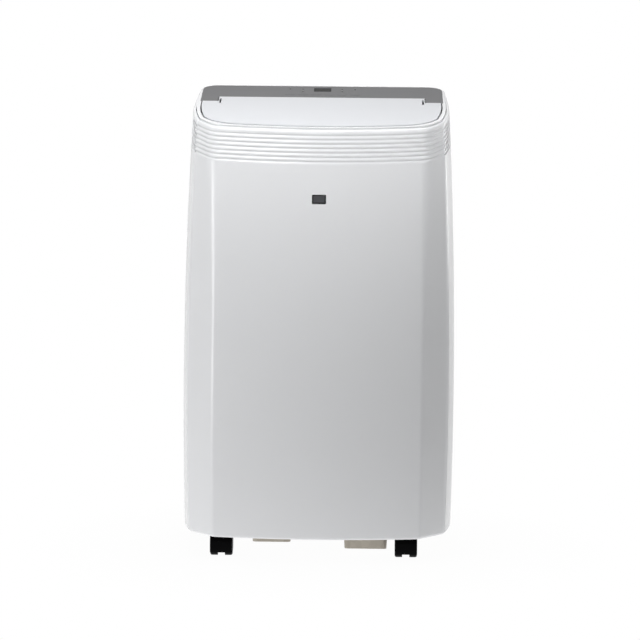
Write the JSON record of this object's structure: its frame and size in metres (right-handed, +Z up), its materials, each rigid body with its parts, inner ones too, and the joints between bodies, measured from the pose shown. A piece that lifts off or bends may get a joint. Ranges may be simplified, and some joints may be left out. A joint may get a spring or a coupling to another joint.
{
  "type": "portable air conditioner",
  "caption": "Upright room air conditioner on swivel casters, with a bowed grooved front, a hinged outlet flap in the sloping top, a grey key panel behind it and a hose collar at the back.",
  "frame": {"origin": "on the floor, under the middle of the bounding box", "axes": "+X to the right seen from the front, +Y to the back, +Z up; the front faces -Y"},
  "size_m": [0.44, 0.355, 0.7492],
  "materials": {
    "white_plastic": "fine satin moulding",
    "grey_plastic": "matt grey",
    "dark_lens": "polished smoked",
    "light_guide": "smoked",
    "circuit_board": "solder mask",
    "bright_steel": "zinc plated",
    "black_plastic": "moulded black",
    "sheet_steel": "galvanised and coated",
    "fins": "bare fins",
    "black_steel": "black enamel",
    "copper": "drawn copper",
    "rubber": "moulded",
    "filter_mesh": "nylon mesh in a frame",
    "motor_steel": "pressed can",
    "dark_plastic": "foam-lined moulding"
  },
  "bodies": {
    "unit": {"base_pan": "sheet_steel", "casing_screws": "bright_steel", "compressor": "black_steel", "compressor_grommets": "rubber", "condenser": "fins", "control_box": "sheet_steel", "control_box_lid": "sheet_steel", "control_panel": "grey_plastic", "cord_gland": "rubber", "discharge_pipe": "copper", "display_board": "circuit_board", "display_lens": "dark_lens", "drip_wells": "sheet_steel", "evaporator": "fins", "front_panel": "white_plastic", "hose_collar": "white_plastic", "light_guide": "light_guide", "louver_motor": "motor_steel", "lower_fan_motor": "motor_steel", "lower_scroll": "dark_plastic", "main_board": "circuit_board", "mid_deck": "sheet_steel", "rear_casing": "white_plastic", "receiver_window": "dark_lens", "suction_pipe": "copper", "top_frame": "white_plastic", "upper_fan_motor": "motor_steel", "upper_scroll": "dark_plastic"},
    "key_1": {"key_1": "grey_plastic"},
    "key_2": {"key_2": "grey_plastic"},
    "key_3": {"key_3": "grey_plastic"},
    "key_4": {"key_4": "grey_plastic"},
    "key_5": {"key_5": "grey_plastic"},
    "key_6": {"key_6": "grey_plastic"},
    "flap": {"louver_flap": "white_plastic", "louver_shaft": "bright_steel"},
    "caster_front_left": {"caster_front_left_hood": "black_plastic", "caster_front_left_axle": "bright_steel"},
    "caster_front_left_wheel_left": {"caster_front_left_wheel_left": "black_plastic"},
    "caster_front_left_wheel_right": {"caster_front_left_wheel_right": "black_plastic"},
    "caster_front_right": {"caster_front_right_hood": "black_plastic", "caster_front_right_axle": "bright_steel"},
    "caster_front_right_wheel_left": {"caster_front_right_wheel_left": "black_plastic"},
    "caster_front_right_wheel_right": {"caster_front_right_wheel_right": "black_plastic"},
    "caster_rear_left": {"caster_rear_left_hood": "black_plastic", "caster_rear_left_axle": "bright_steel"},
    "caster_rear_left_wheel_left": {"caster_rear_left_wheel_left": "black_plastic"},
    "caster_rear_left_wheel_right": {"caster_rear_left_wheel_right": "black_plastic"},
    "caster_rear_right": {"caster_rear_right_hood": "black_plastic", "caster_rear_right_axle": "bright_steel"},
    "caster_rear_right_wheel_left": {"caster_rear_right_wheel_left": "black_plastic"},
    "caster_rear_right_wheel_right": {"caster_rear_right_wheel_right": "black_plastic"},
    "upper_intake": {"upper_grille": "white_plastic", "upper_filter": "filter_mesh"},
    "upper_drain_cap": {"upper_drain_cap": "rubber"},
    "upper_fan": {"upper_fan": "dark_plastic"},
    "lower_intake": {"lower_grille": "white_plastic", "lower_filter": "filter_mesh"},
    "lower_drain_cap": {"lower_drain_cap": "rubber"},
    "lower_fan": {"lower_fan": "dark_plastic"}
  },
  "joints": [
    {"name": "key_1_press", "type": "slide", "parent": "unit", "child": "key_1", "axis": [0, 0.1908, -0.9816], "range_m": [0, 0.0005], "stiffness_N_per_m": 3000},
    {"name": "key_2_press", "type": "slide", "parent": "unit", "child": "key_2", "axis": [0, 0.1908, -0.9816], "range_m": [0, 0.0005], "stiffness_N_per_m": 3000},
    {"name": "key_3_press", "type": "slide", "parent": "unit", "child": "key_3", "axis": [0, 0.1908, -0.9816], "range_m": [0, 0.0005], "stiffness_N_per_m": 3000},
    {"name": "key_4_press", "type": "slide", "parent": "unit", "child": "key_4", "axis": [0, 0.1908, -0.9816], "range_m": [0, 0.0005], "stiffness_N_per_m": 3000},
    {"name": "key_5_press", "type": "slide", "parent": "unit", "child": "key_5", "axis": [0, 0.1908, -0.9816], "range_m": [0, 0.0005], "stiffness_N_per_m": 3000},
    {"name": "key_6_press", "type": "slide", "parent": "unit", "child": "key_6", "axis": [0, 0.1908, -0.9816], "range_m": [0, 0.0005], "stiffness_N_per_m": 3000},
    {"name": "flap_hinge", "type": "hinge", "parent": "unit", "child": "flap", "pos_m": [0, 0.02443, 0.72073], "axis": [-1, 0, 0], "range_deg": [0, 70]},
    {"name": "caster_front_left_swivel", "type": "hinge", "parent": "unit", "child": "caster_front_left", "pos_m": [-0.153, -0.104, 0.06], "axis": [0, 0, 1], "continuous": true},
    {"name": "caster_front_left_wheel_left_spin", "type": "hinge", "parent": "caster_front_left", "child": "caster_front_left_wheel_left", "pos_m": [-0.153, -0.092, 0.02], "axis": [1, 0, 0], "continuous": true},
    {"name": "caster_front_left_wheel_right_spin", "type": "hinge", "parent": "caster_front_left", "child": "caster_front_left_wheel_right", "pos_m": [-0.153, -0.092, 0.02], "axis": [1, 0, 0], "continuous": true},
    {"name": "caster_front_right_swivel", "type": "hinge", "parent": "unit", "child": "caster_front_right", "pos_m": [0.144, -0.104, 0.06], "axis": [0, 0, 1], "continuous": true},
    {"name": "caster_front_right_wheel_left_spin", "type": "hinge", "parent": "caster_front_right", "child": "caster_front_right_wheel_left", "pos_m": [0.144, -0.092, 0.02], "axis": [1, 0, 0], "continuous": true},
    {"name": "caster_front_right_wheel_right_spin", "type": "hinge", "parent": "caster_front_right", "child": "caster_front_right_wheel_right", "pos_m": [0.144, -0.092, 0.02], "axis": [1, 0, 0], "continuous": true},
    {"name": "caster_rear_left_swivel", "type": "hinge", "parent": "unit", "child": "caster_rear_left", "pos_m": [-0.153, 0.131, 0.06], "axis": [0, 0, 1], "continuous": true},
    {"name": "caster_rear_left_wheel_left_spin", "type": "hinge", "parent": "caster_rear_left", "child": "caster_rear_left_wheel_left", "pos_m": [-0.153, 0.143, 0.02], "axis": [1, 0, 0], "continuous": true},
    {"name": "caster_rear_left_wheel_right_spin", "type": "hinge", "parent": "caster_rear_left", "child": "caster_rear_left_wheel_right", "pos_m": [-0.153, 0.143, 0.02], "axis": [1, 0, 0], "continuous": true},
    {"name": "caster_rear_right_swivel", "type": "hinge", "parent": "unit", "child": "caster_rear_right", "pos_m": [0.144, 0.131, 0.06], "axis": [0, 0, 1], "continuous": true},
    {"name": "caster_rear_right_wheel_left_spin", "type": "hinge", "parent": "caster_rear_right", "child": "caster_rear_right_wheel_left", "pos_m": [0.144, 0.143, 0.02], "axis": [1, 0, 0], "continuous": true},
    {"name": "caster_rear_right_wheel_right_spin", "type": "hinge", "parent": "caster_rear_right", "child": "caster_rear_right_wheel_right", "pos_m": [0.144, 0.143, 0.02], "axis": [1, 0, 0], "continuous": true},
    {"name": "upper_intake_pull", "type": "slide", "parent": "unit", "child": "upper_intake", "axis": [0, 1, 0], "range_m": [0, 0.06]},
    {"name": "upper_drain_cap_pull", "type": "slide", "parent": "unit", "child": "upper_drain_cap", "axis": [0, 1, 0], "range_m": [0, 0.03]},
    {"name": "upper_fan_spin", "type": "hinge", "parent": "unit", "child": "upper_fan", "pos_m": [-0.02, 0, 0.538], "axis": [0, 1, 0], "continuous": true},
    {"name": "lower_intake_pull", "type": "slide", "parent": "unit", "child": "lower_intake", "axis": [0, 1, 0], "range_m": [0, 0.06]},
    {"name": "lower_drain_cap_pull", "type": "slide", "parent": "unit", "child": "lower_drain_cap", "axis": [0, 1, 0], "range_m": [0, 0.03]},
    {"name": "lower_fan_spin", "type": "hinge", "parent": "unit", "child": "lower_fan", "pos_m": [0.075, 0.04, 0.172], "axis": [0, 1, 0], "continuous": true}
  ]
}
